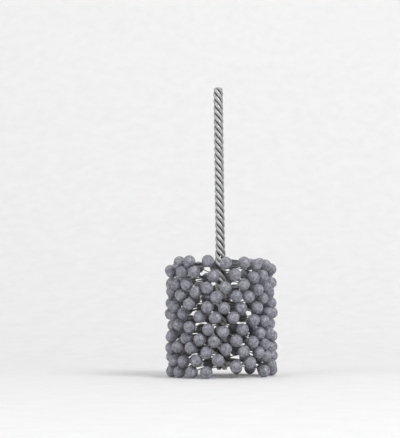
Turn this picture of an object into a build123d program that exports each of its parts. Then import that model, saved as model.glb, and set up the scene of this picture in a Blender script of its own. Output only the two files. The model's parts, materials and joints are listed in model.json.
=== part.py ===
from build123d import *
import os
from math import cos, hypot, inf, pi, radians, sin, sqrt, tan
from random import Random

# Flexible ball hone: four steel wires twisted round nylon filaments, which carry an abrasive globule on
# each end. The stem's axis is Z, its shank points up, and the lowest globules rest on Z = 0. Millimetres
# and degrees.

# Whole tool
overall_length = 203.2
free_diameter = 79.0
brush_length = 83.0
tail_height = 4.6

# Stem wires
strand_count = 4
wire_diameter = 2.55
twist_lead = 19.6
wire_gap = 0.10
spread_length = 11.0
tip_round = 2.6
tip_clearance = 0.15
points_per_turn = 12
runs_per_turn = 4

# Nylon filaments
filament_count = 88
filaments_per_group = 4
filament_diameter = 0.70
filament_pitch = 0.85
filament_grip = 0.10
first_filament_height = 6.6
knee_radius = 14.0
bend_run = 9.0

# Abrasive globules
globule_diameter = 8.4
globules_per_turn = 17
first_globule_direction = 252
globule_gap = 0.6
globule_unevenness = 2.4
neck_length = 0.8
neck_wall = 0.3
neck_spread = 1.6
bore_clearance = 0.06
bore_past_centre = 1.6
level_band = 3.5
settling_rounds = 60
push_share = 0.25
pattern_seed = 11

# Steps of the searches below, enough to settle well under a thousandth of a millimetre
search_steps = 50

# Worked out from the above
wire_radius = wire_diameter / 2
strand_spacing = wire_diameter + wire_gap
filament_radius = filament_diameter / 2
globule_radius = globule_diameter / 2
globule_spacing = globule_diameter + globule_gap
bore_radius = filament_radius + bore_clearance
globule_circle = free_diameter / 2 - globule_radius
rise_per_radian = twist_lead / (2 * pi)
last_filament_height = first_filament_height + (filament_count - 1) * filament_pitch
spread_start = last_filament_height + filament_diameter + filament_grip
even_angle = 360 / strand_count
largest_coil = 2 * wire_diameter
cutter_radius = 2 * largest_coil
cutter_height = 4 * wire_diameter
blank_height = 6 * wire_diameter


def least(distance, reach):
    """The smallest value of a function that falls and then rises between 0 and reach."""
    low, high = 0.0, reach
    for _ in range(search_steps):
        third = (high - low) / 3
        if distance(low + third) < distance(high - third):
            high -= third
        else:
            low += third
    return distance((low + high) / 2)


def between_strands(coil_radius, angle):
    """How near two strands of one coil radius come, centre to centre, when they stand an angle apart."""
    apart = radians(angle)

    def distance(turn):
        return hypot(2 * coil_radius * sin((apart - turn) / 2), rise_per_radian * turn)

    return least(distance, apart)


def strand_to_filament(coil_radius, angle):
    """How near a strand comes to a filament through the stem's axis that it passes an angle away."""
    apart = radians(angle)

    def distance(turn):
        return hypot(coil_radius * sin(apart - turn), rise_per_radian * turn)

    return least(distance, apart)


def solve(value, wanted, low, high):
    """Where a rising function reaches the wanted value."""
    for _ in range(search_steps):
        middle = (low + high) / 2
        if value(middle) < wanted:
            low = middle
        else:
            high = middle
    return (low + high) / 2


def pair_angle(coil_radius):
    """The angle between the two strands of a pair that lie side by side at this coil radius."""
    return solve(lambda angle: between_strands(coil_radius, angle), strand_spacing, 0, 180)


def slot_reach(coil_radius):
    """The room from a filament's centre to the strands beside it at this coil radius."""
    return strand_to_filament(coil_radius, 90 - pair_angle(coil_radius) / 2)


# In the shank the strands stand a quarter turn apart. In the brush they lie in two pairs with the
# filaments between.
shank_coil = solve(lambda coil: between_strands(coil, even_angle), strand_spacing, wire_radius, largest_coil)
slot_needed = wire_radius + filament_radius + filament_grip
brush_coil = solve(slot_reach, slot_needed, shank_coil, largest_coil)
brush_pair = pair_angle(brush_coil)
shank_radius = shank_coil + wire_radius


def twist_at(height):
    """The direction of the filament slot at a height, in radians. The twist is left-hand."""
    return -height / rise_per_radian


def strand_point(strand, height):
    """The centre of one of the four strands at a height."""
    share = min(max((height - spread_start) / spread_length, 0), 1)
    share = share * share * (3 - 2 * share)
    coil = brush_coil + (shank_coil - brush_coil) * share
    pair = brush_pair + (even_angle - brush_pair) * share
    side = 90 if strand < strand_count / 2 else 270
    turn = twist_at(height) + radians(side + (pair / 2 if strand % 2 else -pair / 2))
    return Vector(coil * cos(turn), coil * sin(turn), height)


def stem_wire(strand):
    """One stem wire, cut flat at the tail and rounded off with the others at the shank's tip.

    The centre line is swept in quarter-turn runs, because one long face would need a far denser mesh.
    """
    start = tail_height - wire_diameter
    rise = overall_length + wire_diameter - start
    steps = round(rise / twist_lead * points_per_turn)
    centre_line = Spline(*[strand_point(strand, start + rise * i / steps) for i in range(steps + 1)])
    runs = round(rise / twist_lead * runs_per_turn)
    path = Wire([centre_line.trim(i / runs, (i + 1) / runs) for i in range(runs)])
    section = Plane(origin=path @ 0, z_dir=path % 0) * Circle(wire_radius)
    wire = sweep(section, path=path, is_frenet=True)
    return wire - tail_cut - tip_cut


hung = (Align.CENTER, Align.CENTER, Align.MAX)
tail_cut = Pos(0, 0, tail_height) * Cylinder(cutter_radius, cutter_height, align=hung)
tip_blank = Cylinder(shank_radius + tip_clearance, blank_height, align=hung)
tip_form = fillet(tip_blank.edges().group_by(Axis.Z)[-1], tip_round)
tip_cut = Pos(0, 0, overall_length) * (Cylinder(cutter_radius, cutter_height) - tip_form)


def unit(azimuth):
    return Vector(cos(azimuth), sin(azimuth), 0)


def turned(angle):
    """An angle brought to within half a turn either way."""
    return (angle + pi) % (2 * pi) - pi


def lean(index, place):
    """How far a filament leans to reach a place with one end or the other, squared."""
    azimuth, height = place
    root_height = first_filament_height + index * filament_pitch
    turn = turned(2 * (azimuth - twist_at(root_height))) / 2
    return (turn * globule_circle) ** 2 + (height - root_height) ** 2


def globule_places():
    """A place for one globule of each filament, in filament order, as [azimuth, height].

    Its twin is half a turn round. The globules are wider than the filaments, so they don't lie where the
    twist of the stem points: they pack in staggered rows that wind round the brush. Each filament takes
    the place that it reaches with the least lean.
    """
    uneven = Random(pattern_seed)
    rise = (brush_length - globule_diameter) / (filament_count - 1)
    places = []
    for i in range(filament_count):
        azimuth = radians(first_globule_direction) - 2 * pi * i / globules_per_turn
        shift_round = globule_unevenness * uneven.uniform(-1, 1) / globule_circle
        shift_up = globule_unevenness * uneven.uniform(-1, 1)
        places.append([azimuth + shift_round, globule_radius + i * rise + shift_up])
    return matched(places)


def matched(places):
    """The places in filament order, matched so that all the filaments together lean least.

    The filaments are let in one by one. Each takes its cheapest place, and where that is held already,
    the holders move on along the cheapest chain of places that ends at a free one.
    """
    count = len(places)
    leans = [[lean(i, place) for place in places] for i in range(count)]
    holder = [None] * count
    filament_price = [0.0] * count
    place_price = [0.0] * count
    for newcomer in range(count):
        slack = [inf] * count
        came_from = [None] * count
        passed = []
        asking = newcomer
        last = None
        while asking is not None:
            for j in set(range(count)) - set(passed):
                extra = leans[asking][j] - filament_price[asking] - place_price[j]
                if extra < slack[j]:
                    slack[j] = extra
                    came_from[j] = last
            nearest = min((j for j in range(count) if j not in passed), key=lambda j: slack[j])
            step = slack[nearest]
            filament_price[newcomer] += step
            for j in passed:
                filament_price[holder[j]] += step
                place_price[j] -= step
            for j in range(count):
                if j not in passed:
                    slack[j] -= step
            passed.append(nearest)
            last = nearest
            asking = holder[nearest]
        while last is not None:
            before = came_from[last]
            holder[last] = newcomer if before is None else holder[before]
            last = before
    ordered = [None] * count
    for j, filament_index in enumerate(holder):
        ordered[filament_index] = places[j]
    return ordered


def nudge(places):
    """Push globules that are nearer than their spacing apart, along the brush's surface."""
    pushes = [[0.0, 0.0] for _ in places]
    for i, (azimuth, height) in enumerate(places):
        for j in range(i):
            up = height - places[j][1]
            if abs(up) >= globule_spacing:
                continue
            for twin in (0, pi):
                along = turned(azimuth - places[j][0] + twin) * globule_circle
                apart = hypot(along, up)
                if apart >= globule_spacing:
                    continue
                push = (globule_spacing - apart) / apart * push_share
                pushes[i][0] += push * along
                pushes[i][1] += push * up
                pushes[j][0] -= push * along
                pushes[j][1] -= push * up
    lowest = globule_radius
    highest = brush_length - globule_radius
    for place, (along, up) in zip(places, pushes):
        place[0] += along / globule_circle
        place[1] = min(max(place[1] + up, lowest), highest)


def settle_globules():
    """The centre of one globule of each filament.

    The lowest lie on one level, as when the tool stands on its end.
    """
    places = globule_places()
    for _ in range(settling_rounds):
        nudge(places)
    uneven = Random(pattern_seed)
    centres = []
    for azimuth, height in places:
        drop = globule_unevenness * uneven.uniform(0, 1) ** 2
        level = globule_radius if height - globule_radius < level_band else height
        centres.append(unit(azimuth) * (globule_circle - drop) + Vector(0, 0, level))
    return centres


globule_centres = settle_globules()


def ends_of(index):
    """The two globule centres of a filament, the second half a turn round from the first."""
    centre = globule_centres[index]
    return centre, Vector(-centre.X, -centre.Y, centre.Z)


def knees_of(index):
    """Where a filament's two arms bend from the slot's direction towards their globules."""
    height = first_filament_height + index * filament_pitch
    out = unit(twist_at(height)) * knee_radius
    if out.dot(globule_centres[index]) < 0:
        out = out * -1
    return out + Vector(0, 0, height), Vector(-out.X, -out.Y, height)


def filament(index):
    """One filament, bent gently beyond the stem and straight into a globule at each end."""
    corners = []
    for knee, centre in zip(knees_of(index), ends_of(index)):
        run = (centre - knee).normalized()
        corners.append((knee, centre + run * (bore_past_centre - bore_clearance), run))
    (knee_a, end_a, run_a), (knee_b, end_b, run_b) = corners
    through = (knee_b - knee_a).normalized()
    radii = [bend_run / tan(radians(through.get_angle(run)) / 2) for run in (run_a * -1, run_b)]
    path = FilletPolyline(end_a, knee_a, knee_b, end_b, radius=radii)
    section = Plane(origin=path @ 0, z_dir=path % 0) * Circle(filament_radius)
    return sweep(section, path=path)


def globule_form():
    """A globule about the origin, its neck and blind bore towards the stem along +Z."""
    neck_start = sqrt(globule_radius**2 - neck_spread**2)
    neck_end = globule_radius + neck_length
    rim = bore_radius + neck_wall
    mouth = (bore_radius, neck_end)
    floor = (bore_radius, -bore_past_centre)
    floor_centre = (0, -bore_past_centre)
    bottom = (0, -globule_radius)
    outside = ThreePointArc(bottom, (globule_radius, 0), (neck_spread, neck_start))
    collar = Polyline((neck_spread, neck_start), (rim, neck_end), mouth, floor, floor_centre, bottom)
    half = make_face(Wire([outside, *collar.edges()]))
    return revolve(Plane.XZ * half, axis=Axis.Z)


def globules(index):
    """The two globules of one filament, seated over its ends."""
    placed = []
    for knee, centre in zip(knees_of(index), ends_of(index)):
        seat = Plane(origin=centre, z_dir=knee - centre)
        placed.append(seat.location * globule)
    return placed


globule = globule_form().solid()

os.makedirs("parts", exist_ok=True)

for strand in range(strand_count):
    export_step(stem_wire(strand), f"parts/stem_wire_{strand + 1}.step")

for group in range(filament_count // filaments_per_group):
    members = range(group * filaments_per_group, (group + 1) * filaments_per_group)
    bristles = [filament(index).solid() for index in members]
    beads = [bead for index in members for bead in globules(index)]
    export_step(Compound(children=bristles), f"parts/filaments_{group + 1:02d}.step")
    export_step(Compound(children=beads), f"parts/globules_{group + 1:02d}.step")
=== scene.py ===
import json
from math import cos, exp, pi, radians, sin

import bmesh
import bpy
import numpy as np
from mathutils import Matrix, Vector, noise


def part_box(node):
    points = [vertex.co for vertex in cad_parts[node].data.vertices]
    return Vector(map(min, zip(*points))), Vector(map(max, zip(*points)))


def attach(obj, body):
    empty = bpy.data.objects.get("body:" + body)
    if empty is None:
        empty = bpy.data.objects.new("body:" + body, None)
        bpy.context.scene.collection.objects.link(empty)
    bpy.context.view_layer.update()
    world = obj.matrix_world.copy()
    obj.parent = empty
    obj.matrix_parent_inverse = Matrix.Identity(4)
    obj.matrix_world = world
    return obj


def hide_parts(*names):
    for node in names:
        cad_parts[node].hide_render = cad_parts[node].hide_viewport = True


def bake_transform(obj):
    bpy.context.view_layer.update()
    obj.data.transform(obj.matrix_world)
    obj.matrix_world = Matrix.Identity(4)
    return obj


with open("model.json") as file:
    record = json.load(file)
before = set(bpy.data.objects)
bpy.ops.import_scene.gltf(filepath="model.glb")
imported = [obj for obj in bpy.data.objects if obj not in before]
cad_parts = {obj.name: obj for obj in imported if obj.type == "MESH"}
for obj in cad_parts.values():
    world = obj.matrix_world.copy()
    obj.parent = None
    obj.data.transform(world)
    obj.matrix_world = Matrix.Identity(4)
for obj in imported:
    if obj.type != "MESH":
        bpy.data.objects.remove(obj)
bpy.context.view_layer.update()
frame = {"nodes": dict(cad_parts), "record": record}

groups = sorted(name.rsplit("_", 1)[1] for name in frame["nodes"] if name.startswith("globules_"))
wires = sorted(name for name in frame["nodes"] if name.startswith("stem_wire_"))
mounts = {mount["name"]: mount for mount in frame["record"]["mounts"]}

# Sizes of the hone, in metres. The stem's surface is how far it reaches from its axis inside the brush.
mm = 0.001
shank_radius = mounts["shank"]["dims"]["r_mm"] * mm
stem_low, stem_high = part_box(wires[0])
stem_surface = stem_high[0]
stem_bottom, stem_top = stem_low[2], stem_high[2]
tip_round = 2.6 * mm
globule_radius = 4.2 * mm
neck_length = 0.8 * mm
filament_radius = 0.35 * mm
bend_start = 5.0 * mm
knee_radius = 14.0 * mm
bend_run = 9.0 * mm

# A filament stops this far from its globule's centre
filament_stop = globule_radius / 2

# How wide a globule's neck is, in radians seen from its centre
neck_angle = 0.17

# How uneven a globule is. Depths are shares of its radius, and fineness is lumps or grains per radius. A
# ball starts a little too large, so that its lumps and hollows lie on both sides of its solid's surface.
starting_size = 1.032
size_spread = 0.012
squeeze = 0.022
lump_depth = 0.028
lump_fineness = 1.9
grit_depth = 0.022
grit_fineness = 11
globule_subdivisions = 4

# What sets one globule apart from the next: steps of its place in the noise, its size and its squeeze
noise_steps = (7.31, 3.17, 5.53)
size_step = 4.7
squeeze_steps = (2.1, 1.3, 0.7)
squeeze_start = 1

# No globule reaches beyond the brush's own outline
brush_radius = 39.4 * mm
brush_bottom = 0.1 * mm

# Filament tubes
tube_sides = 8
bend_steps = 8
straight_steps = 12

# Reading the solids. Corners that agree to some digits of a metre are one. A corner belongs to a globule's
# round part if its misfit is small, or at most so many times the median. A filament's innermost corners,
# where its bends begin, lie in a narrow band.
weld_digits = 6
fit_rounds = 3
small_misfit = 0.05 * mm
misfit_times = 2
inner_band = 0.5 * mm

# Finishes. A noise has its scale per metre. A tone is its place on a ramp, its grey and any added blue. A
# relief is its depth in metres and its strength. The painted shade in the stem's grooves has its places as
# shares of the shank's radius: the deeper a point lies under the stem's outline, the darker its colour.
groove_shade_start = 0.62
groove_shade_end = 0.95
groove_shade_tones = [(0.0, 0.01), (0.36, 0.06), (0.57, 1)]
zinc_noise = {"scale": 900, "detail": 5, "roughness": 0.6}
zinc_tones = [(0.3, 0.28), (0.55, 0.45), (0.75, 0.60)]
zinc_roughness = (0.38, 0.58)
drawn_noise = {"scale": 4200, "detail": 3}
drawn_relief = (0.03 * mm, 0.35)
steel_metallic = 0.75

mottle_noise = {"scale": 420, "detail": 6, "roughness": 0.7}
mottle_tones = [(0.36, 0.15, 0.030), (0.5, 0.26, 0.046), (0.64, 0.43, 0.056)]
mottle_relief = (0.35 * mm, 0.7)
resin_coat = 0.45
resin_roughness = 0.25

# Single grains: the pale ones glint. Their relief is negative, because they fall away from their middle.
grain_scale = 1900
grain_tones = [(0.2, 0.62), (0.5, 0.86), (0.8, 1)]
grain_roughness = (0.75, 0.28)
glinting_tones = (0.35, 0.8)
grain_relief = (-0.14 * mm, 0.8)

wear_noise = {"scale": 240, "detail": 3}
nylon_tones = [(0.35, 0.030, 0.004), (0.7, 0.075, 0.007)]
nylon_roughness = (0.34, 0.55)

fibre_noise = {"scale": 60, "detail": 3}
paper_tones = [(0.3, 0.86), (0.7, 0.90)]
paper_roughness = 0.9

# The stage, in metres: a floor that curves up into a backdrop. Its glow is a distance from the stem's
# axis and a strength.
stage_half_width = 6.0
stage_front = -6.0
stage_back = 1.4
stage_sweep = 1.2
stage_top = 2.4
sweep_steps = 24
stage_glow = [(0.3, 0.0), (1.8, 0.10), (6.0, 0.46)]

# Light: each softbox as place, side in metres and power in watts
softboxes = {
    "key_light": ((1.1, -1.4, 1.41), 1.0, 28.0),
    "fill_light": ((-1.5, -1.1, 0.61), 1.2, 10.0),
    "top_light": ((0.0, 0.3, 2.11), 1.4, 7.0),
}
lit_height = 0.09
world_light = 0.37
world_seen = 0.8

# The camera, fitted to the photograph, in pixels, metres and degrees, with its sensor in millimetres
image_height = 438
focal_pixels = 1200
camera_distance = 0.840
camera_height = 0.0393
camera_side = -0.01395
camera_pitch = 4.8
camera_roll = -0.687
sensor_height = 24.0
nearest_seen = 0.01


# Materials


def new_material(name):
    material = bpy.data.materials.new(name)
    material.use_nodes = True
    return material, material.node_tree.nodes, material.node_tree.links


def object_place(nodes):
    return nodes.new("ShaderNodeTexCoord").outputs["Object"]


def noise_node(nodes, links, place, scale, detail, roughness=0.5):
    texture = nodes.new("ShaderNodeTexNoise")
    texture.inputs["Scale"].default_value = scale
    texture.inputs["Detail"].default_value = detail
    texture.inputs["Roughness"].default_value = roughness
    links.new(place, texture.inputs["Vector"])
    return texture.outputs["Fac"]


def grain_node(nodes, links, place, scale):
    """Cells the size of single grains: a point's distance from its grain's middle, and the grain's tone."""
    texture = nodes.new("ShaderNodeTexVoronoi")
    texture.inputs["Scale"].default_value = scale
    links.new(place, texture.inputs["Vector"])
    return texture.outputs["Distance"], texture.outputs["Color"]


def grey(tone, blue=0.0):
    return (tone, tone, tone + blue)


def ramp_node(nodes, links, value, tones):
    """A grey that follows a value. Each tone is its place on the ramp, its grey and any added blue."""
    ramp = nodes.new("ShaderNodeValToRGB")
    ramp.color_ramp.elements[0].position = tones[0][0]
    ramp.color_ramp.elements[1].position = tones[-1][0]
    for position, *_ in tones[1:-1]:
        ramp.color_ramp.elements.new(position)
    for element, (_, *tone) in zip(ramp.color_ramp.elements, tones):
        element.color = (*grey(*tone), 1)
    links.new(value, ramp.inputs["Fac"])
    return ramp.outputs["Color"]


def range_node(nodes, links, value, low, high, start=0.0, end=1.0):
    """A value that goes from low to high as another goes from start to end."""
    spread = nodes.new("ShaderNodeMapRange")
    spread.inputs["From Min"].default_value = start
    spread.inputs["From Max"].default_value = end
    spread.inputs["To Min"].default_value = low
    spread.inputs["To Max"].default_value = high
    links.new(value, spread.inputs["Value"])
    return spread.outputs["Result"]


def bump_node(nodes, links, height, depth, strength, under=None):
    """Relief that follows a value, on top of other relief where there is some."""
    bump = nodes.new("ShaderNodeBump")
    bump.inputs["Distance"].default_value = depth
    bump.inputs["Strength"].default_value = strength
    links.new(height, bump.inputs["Height"])
    if under is not None:
        links.new(under, bump.inputs["Normal"])
    return bump.outputs["Normal"]


def multiply_colours(nodes, links, a, b):
    mix = nodes.new("ShaderNodeMix")
    mix.data_type = "RGBA"
    mix.blend_type = "MULTIPLY"
    mix.inputs["Factor"].default_value = 1
    links.new(a, mix.inputs["A"])
    links.new(b, mix.inputs["B"])
    return mix.outputs["Result"]


def maths_node(nodes, links, operation, a, b):
    """An operation on two values, each of them a socket or a plain number."""
    maths = nodes.new("ShaderNodeMath")
    maths.operation = operation
    for value, socket in zip((a, b), maths.inputs):
        if isinstance(value, (int, float)):
            socket.default_value = value
        else:
            links.new(value, socket)
    return maths.outputs["Value"]


def distance_from_axis(nodes, links, place):
    """How far a point is from the stem's axis."""
    flat = nodes.new("ShaderNodeVectorMath")
    flat.operation = "MULTIPLY"
    flat.inputs[1].default_value = (1, 1, 0)
    links.new(place, flat.inputs[0])
    reach = nodes.new("ShaderNodeVectorMath")
    reach.operation = "LENGTH"
    links.new(flat.outputs["Vector"], reach.inputs[0])
    return reach.outputs["Value"]


def reach_in_outline(nodes, links, place):
    """The shank's radius less how deep a point lies under the stem's smooth outline, ends included."""
    parts = nodes.new("ShaderNodeSeparateXYZ")
    links.new(place, parts.inputs["Vector"])
    height = parts.outputs["Z"]
    flat = shank_radius - tip_round
    outwards = maths_node(nodes, links, "SUBTRACT", distance_from_axis(nodes, links, place), flat)
    upwards = maths_node(nodes, links, "SUBTRACT", height, stem_top - tip_round)
    corner = nodes.new("ShaderNodeCombineXYZ")
    links.new(maths_node(nodes, links, "MAXIMUM", outwards, 0), corner.inputs["X"])
    links.new(maths_node(nodes, links, "MAXIMUM", upwards, 0), corner.inputs["Y"])
    rounded = nodes.new("ShaderNodeVectorMath")
    rounded.operation = "LENGTH"
    links.new(corner.outputs["Vector"], rounded.inputs[0])
    from_top = maths_node(nodes, links, "ADD", rounded.outputs["Value"], flat)
    from_bottom = maths_node(nodes, links, "SUBTRACT", shank_radius + stem_bottom, height)
    return maths_node(nodes, links, "MAXIMUM", from_top, from_bottom)


def steel_material():
    """Galvanised wire: pale and satin, with painted shade in the grooves between the strands."""
    material, nodes, links = new_material("galvanised_wire")
    shader = nodes["Principled BSDF"]
    place = object_place(nodes)
    reach = reach_in_outline(nodes, links, place)
    # Painted shade: the colour darkens the deeper a point lies in the grooves between the strands
    depth = range_node(nodes, links, reach, 0, 1, groove_shade_start * shank_radius, groove_shade_end * shank_radius)
    painted_groove_shade = ramp_node(nodes, links, depth, groove_shade_tones)
    zinc = noise_node(nodes, links, place, **zinc_noise)
    spangle = ramp_node(nodes, links, zinc, zinc_tones)
    links.new(multiply_colours(nodes, links, spangle, painted_groove_shade), shader.inputs["Base Color"])
    links.new(range_node(nodes, links, zinc, *zinc_roughness), shader.inputs["Roughness"])
    drawn = noise_node(nodes, links, place, **drawn_noise)
    links.new(bump_node(nodes, links, drawn, *drawn_relief), shader.inputs["Normal"])
    shader.inputs["Metallic"].default_value = steel_metallic
    return material


def abrasive_material():
    """Resin-bonded grit: a bluish grey, mottled and sandy, with a glint from single grains."""
    material, nodes, links = new_material("bonded_abrasive")
    shader = nodes["Principled BSDF"]
    place = object_place(nodes)
    mottle = noise_node(nodes, links, place, **mottle_noise)
    patches = ramp_node(nodes, links, mottle, mottle_tones)
    to_middle, own_tone = grain_node(nodes, links, place, grain_scale)
    grains = ramp_node(nodes, links, own_tone, grain_tones)
    links.new(multiply_colours(nodes, links, patches, grains), shader.inputs["Base Color"])
    glint = range_node(nodes, links, own_tone, *grain_roughness, *glinting_tones)
    links.new(glint, shader.inputs["Roughness"])
    fine = bump_node(nodes, links, to_middle, *grain_relief)
    links.new(bump_node(nodes, links, mottle, *mottle_relief, fine), shader.inputs["Normal"])
    shader.inputs["Coat Weight"].default_value = resin_coat
    shader.inputs["Coat Roughness"].default_value = resin_roughness
    return material


def nylon_material():
    """Extruded monofilament: dark grey, slightly glossy, a little paler where it has been rubbed."""
    material, nodes, links = new_material("nylon_filament")
    shader = nodes["Principled BSDF"]
    wear = noise_node(nodes, links, object_place(nodes), **wear_noise)
    links.new(ramp_node(nodes, links, wear, nylon_tones), shader.inputs["Base Color"])
    links.new(range_node(nodes, links, wear, *nylon_roughness), shader.inputs["Roughness"])
    return material


# Reading where the solids are


def islands(node):
    """The separate solids of a CAD node, each as an array of its corners."""
    mesh = frame["nodes"][node].data
    points = np.empty(len(mesh.vertices) * 3)
    mesh.vertices.foreach_get("co", points)
    points, welded = np.unique(points.reshape(-1, 3).round(weld_digits), axis=0, return_inverse=True)
    edges = np.empty(len(mesh.edges) * 2, int)
    mesh.edges.foreach_get("vertices", edges)
    edges = welded.reshape(-1)[edges].reshape(-1, 2)
    label = np.arange(len(points))
    while True:
        lowest = np.minimum(label[edges[:, 0]], label[edges[:, 1]])
        joined = label.copy()
        np.minimum.at(joined, edges[:, 0], lowest)
        np.minimum.at(joined, edges[:, 1], lowest)
        joined = joined[joined]
        if (joined == label).all():
            return [points[label == name] for name in np.unique(label)]
        label = joined


def ball_centre(points):
    """The centre of a globule, by least squares over its round part, leaving out its neck and bore."""
    for _ in range(fit_rounds):
        rows = np.column_stack([2 * points, np.ones(len(points))])
        centre = np.linalg.lstsq(rows, (points**2).sum(axis=1), rcond=None)[0][:3]
        misfit = abs(np.linalg.norm(points - centre, axis=1) - globule_radius)
        points = points[misfit <= max(small_misfit, np.median(misfit) * misfit_times)]
    return Vector(centre)


def arms_of(points, centres):
    """The two arms of a filament, each as (root, direction in the slot, centre of its globule)."""
    reach = np.hypot(points[:, 0], points[:, 1])
    inner = points[reach < reach.min() + inner_band]
    root = Vector((0, 0, inner[:, 2].mean()))
    first = inner[0, :2]
    side = inner[inner[:, :2] @ first > 0].mean(axis=0)
    out = Vector((side[0], side[1], 0)).normalized()
    arms = []
    for direction in (out, -out):
        along = points[:, 0] * direction.x + points[:, 1] * direction.y
        tip = Vector(points[np.where(along > 0, reach, 0).argmax()])
        arms.append((root, direction, min(centres, key=lambda centre: (centre - tip).length)))
    return arms


# Pieces


def add_mesh(name, corners, faces, material):
    mesh = bpy.data.meshes.new(name)
    mesh.from_pydata([tuple(corner) for corner in corners], [], faces)
    mesh.materials.append(material)
    for polygon in mesh.polygons:
        polygon.use_smooth = True
    mesh.update()
    obj = bpy.data.objects.new(name, mesh)
    bpy.context.scene.collection.objects.link(obj)
    return obj


def ball_pattern():
    """The corners, as directions, and the faces of an even ball."""
    shape = bmesh.new()
    bmesh.ops.create_icosphere(shape, subdivisions=globule_subdivisions, radius=1)
    corners = [vertex.co.normalized() for vertex in shape.verts]
    faces = [[vertex.index for vertex in face.verts] for face in shape.faces]
    shape.free()
    return corners, faces


def within_outline(corner):
    """A corner that would stand out of the brush's outline comes back onto it, as if worn there."""
    shrink = min(1, brush_radius / corner.xy.length)
    return Vector((corner.x * shrink, corner.y * shrink, max(corner.z, brush_bottom)))


def unevenness(direction, fineness, own):
    """Noise from about 0 to 1 over a globule's surface."""
    return 0.5 + 0.5 * noise.noise(direction * fineness + own)


def lumpy_ball(directions, centre, inwards, number):
    """One globule's corners: a slightly squeezed, lumpy, gritty ball with a neck towards its filament."""
    own = Vector([number * step for step in noise_steps])
    size = starting_size + size_spread * sin(number * size_step)
    x_step, y_step, z_step = squeeze_steps
    across = Vector((sin(number * x_step), cos(number * y_step), sin(number * z_step + squeeze_start)))
    flat = across.normalized()
    corners = []
    for direction in directions:
        lump = unevenness(direction, lump_fineness, own)
        grit = unevenness(direction, grit_fineness, own)
        share = size - squeeze * direction.dot(flat) ** 2 - lump_depth * lump - grit_depth * grit
        angle = direction.angle(inwards)
        neck = neck_length * exp(-((angle / neck_angle) ** 2))
        corners.append(within_outline(centre + direction * (globule_radius * share + neck)))
    return corners


def make_globules(group, centres, inwards, pattern, material):
    directions, pattern_faces = pattern
    corners, faces = [], []
    for i, (centre, towards_stem) in enumerate(zip(centres, inwards)):
        faces += [[corner + len(corners) for corner in face] for face in pattern_faces]
        corners += lumpy_ball(directions, centre, towards_stem, int(group) * len(centres) + i)
    obj = add_mesh(f"abrasive_globules_{group}", corners, faces, material)
    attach(obj, f"tuft_{group}")
    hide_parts(f"globules_{group}")


def arm_path(root, direction, centre):
    """The middle line of a filament's arm: out of the slot, round its bend and straight into its globule."""
    knee = root + direction * knee_radius
    run = (centre - knee).normalized()
    leave = root + direction * bend_start
    straight = knee + run * bend_run
    line = [root, root + direction * stem_surface]
    for i in range(bend_steps + 1):
        t = i / bend_steps
        line.append(leave * (1 - t) ** 2 + knee * (2 * t * (1 - t)) + straight * t**2)
    end = centre - run * filament_stop
    line += [straight.lerp(end, i / straight_steps) for i in range(1, straight_steps + 1)]
    return line, run


def tube(line):
    """The corners and faces of a round tube along a line."""
    corners, faces = [], []
    across = (line[1] - line[0]).orthogonal().normalized()
    for i, point in enumerate(line):
        ahead = (line[min(i + 1, len(line) - 1)] - line[max(i - 1, 0)]).normalized()
        across = (across - ahead * across.dot(ahead)).normalized()
        up = ahead.cross(across)
        for side in range(tube_sides):
            turn = 2 * pi * side / tube_sides
            corners.append(point + (across * cos(turn) + up * sin(turn)) * filament_radius)
    for i in range(len(line) - 1):
        for side in range(tube_sides):
            following = (side + 1) % tube_sides
            a, b = i * tube_sides, (i + 1) * tube_sides
            faces.append([a + side, a + following, b + following, b + side])
    faces.append(list(range(tube_sides))[::-1])
    faces.append([(len(line) - 1) * tube_sides + side for side in range(tube_sides)])
    return corners, faces


def make_arm(name, group, root, direction, centre, material):
    """One arm of a filament, bent between the stem and its globule. Returns the way it runs in there."""
    line, run = arm_path(root, direction, centre)
    corners, faces = tube(line)
    obj = add_mesh(name, corners, faces, material)
    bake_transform(obj)
    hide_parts(f"filaments_{group}")
    return run


def make_brush():
    abrasive, nylon, pattern = abrasive_material(), nylon_material(), ball_pattern()
    for group in groups:
        centres = [ball_centre(points) for points in islands(f"globules_{group}")]
        towards_stem = {}
        for points in islands(f"filaments_{group}"):
            for root, direction, centre in arms_of(points, centres):
                name = f"filament_{group}_{len(towards_stem) + 1}"
                run = make_arm(name, group, root, direction, centre, nylon)
                towards_stem[centres.index(centre)] = -run
        make_globules(group, centres, [towards_stem[i] for i in range(len(centres))], pattern, abrasive)


def dress_stem():
    """The wires keep their solids' shape and get the galvanised finish."""
    steel = steel_material()
    for wire in wires:
        obj = frame["nodes"][wire]
        for slot in obj.material_slots:
            slot.material = steel
        for polygon in obj.data.polygons:
            polygon.use_smooth = True


# Stage, light and camera


def seen_directly(nodes, links):
    """One for what the camera or a reflection sees, nothing for the light that falls on the hone."""
    rays = nodes.new("ShaderNodeLightPath").outputs
    return maths_node(nodes, links, "MAXIMUM", rays["Is Camera Ray"], rays["Is Glossy Ray"])


def stage_material():
    """Pale paper that takes the hone's shadow, and glows a little where the softboxes no longer reach."""
    material, nodes, links = new_material("pale_paper")
    shader = nodes["Principled BSDF"]
    place = object_place(nodes)
    fibres = noise_node(nodes, links, place, **fibre_noise)
    links.new(ramp_node(nodes, links, fibres, paper_tones), shader.inputs["Base Color"])
    shader.inputs["Roughness"].default_value = paper_roughness
    shader.inputs["Emission Color"].default_value = (1, 1, 1, 1)
    furthest = stage_glow[-1][0]
    away = range_node(nodes, links, distance_from_axis(nodes, links, place), 0, 1, 0, furthest)
    glow = ramp_node(nodes, links, away, [(metres / furthest, strength) for metres, strength in stage_glow])
    seen_glow = maths_node(nodes, links, "MULTIPLY", glow, seen_directly(nodes, links))
    links.new(seen_glow, shader.inputs["Emission Strength"])
    return material


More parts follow.
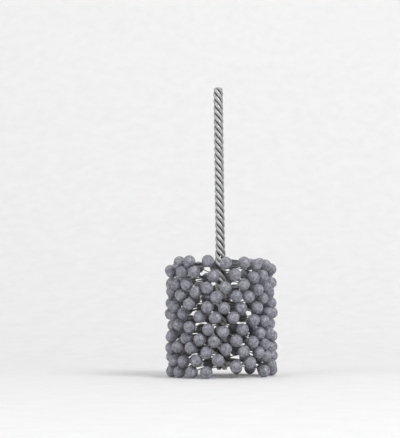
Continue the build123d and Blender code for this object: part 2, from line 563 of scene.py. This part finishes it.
def make_stage():
    """A floor that curves up into a backdrop behind the hone."""
    profile = [(stage_front, 0.0), (stage_back - stage_sweep, 0.0)]
    for i in range(1, sweep_steps + 1):
        turn = pi / 2 * i / sweep_steps
        y = stage_back - stage_sweep + stage_sweep * sin(turn)
        profile.append((y, stage_sweep - stage_sweep * cos(turn)))
    profile.append((stage_back, stage_top))
    corners = [(x, y, z) for y, z in profile for x in (-stage_half_width, stage_half_width)]
    faces = [[2 * i, 2 * i + 1, 2 * i + 3, 2 * i + 2] for i in range(len(profile) - 1)]
    add_mesh("floor_and_backdrop", corners, faces, stage_material())


def softbox(name, place, size, power):
    """A square lamp that points at the hone and that the camera doesn't see."""
    lamp = bpy.data.lights.new(name, "AREA")
    lamp.shape = "SQUARE"
    lamp.size = size
    lamp.energy = power
    obj = bpy.data.objects.new(name, lamp)
    obj.location = place
    obj.visible_camera = False
    towards = Vector((0, 0, lit_height)) - Vector(place)
    obj.rotation_euler = towards.to_track_quat("-Z", "Y").to_euler()
    bpy.context.scene.collection.objects.link(obj)


def light_scene():
    for name, (place, size, power) in softboxes.items():
        softbox(name, place, size, power)
    world = bpy.data.worlds.new("studio")
    world.use_nodes = True
    nodes, links = world.node_tree.nodes, world.node_tree.links
    nodes["Background"].inputs["Color"].default_value = (1, 1, 1, 1)
    strength = range_node(nodes, links, seen_directly(nodes, links), world_light, world_seen)
    links.new(strength, nodes["Background"].inputs["Strength"])
    bpy.context.scene.world = world


def place_camera():
    lens = bpy.data.cameras.new("camera")
    lens.sensor_fit = "VERTICAL"
    lens.sensor_height = sensor_height
    lens.lens = sensor_height * focal_pixels / image_height
    lens.clip_start = nearest_seen
    camera = bpy.data.objects.new("camera", lens)
    bpy.context.scene.collection.objects.link(camera)
    camera.matrix_world = (
        Matrix.Translation((camera_side, -camera_distance, camera_height))
        @ Matrix.Rotation(radians(90 + camera_pitch), 4, "X")
        @ Matrix.Rotation(radians(camera_roll), 4, "Z")
    )
    bpy.context.scene.camera = camera


place_camera()
make_brush()
dress_stem()
make_stage()
light_scene()
bpy.context.scene.view_settings.view_transform = "Standard"
